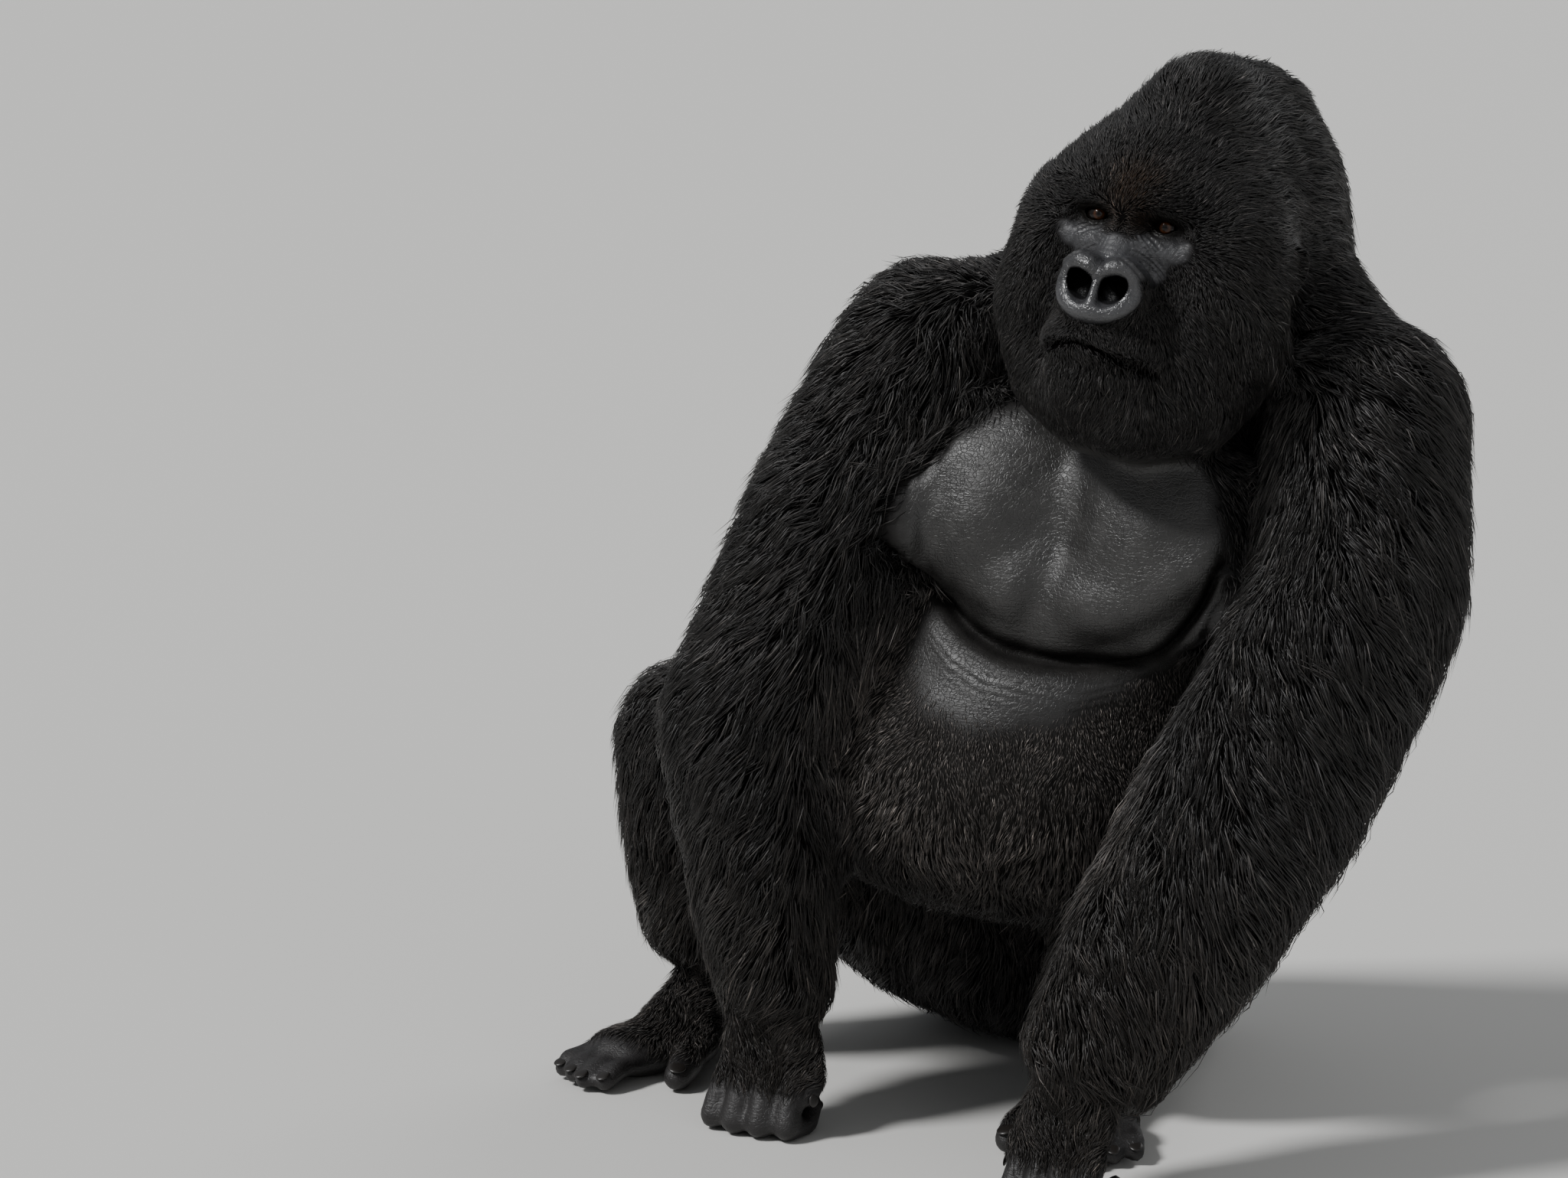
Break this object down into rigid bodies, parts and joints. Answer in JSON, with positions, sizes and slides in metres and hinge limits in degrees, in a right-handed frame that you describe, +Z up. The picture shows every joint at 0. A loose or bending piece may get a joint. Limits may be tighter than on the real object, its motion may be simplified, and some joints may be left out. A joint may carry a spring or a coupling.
{
  "type": "mountain gorilla figure",
  "caption": "Life-size still model of an adult male gorilla seated on its rump with both arms planted in front, head turned level, in a full dark coat.",
  "frame": {"origin": "on the floor, under the middle of the bounding box", "axes": "+Z up, the animal faces -Y, +X to its own left"},
  "size_m": [0.9742, 0.8108, 1.1134],
  "materials": {
    "coat": "dense dark hair with greyish tips, silvery over the back, dry and softly sheened",
    "skin": "bare dark grey skin, creased, lightly glossy",
    "eye": "wet, brown iris in a dark eyeball"
  },
  "bodies": {
    "root": {"trunk": "coat", "neck": "coat", "head": "coat", "ear_l": "skin", "ear_r": "skin", "eye_l": "eye", "eye_r": "eye", "upper_arm_l": "coat", "upper_arm_r": "coat", "forearm_l": "coat", "forearm_r": "coat", "hand_l": "skin", "hand_r": "skin", "thigh_l": "coat", "thigh_r": "coat", "shin_l": "coat", "shin_r": "coat", "foot_l": "skin", "foot_r": "skin"}
  },
  "joints": []
}
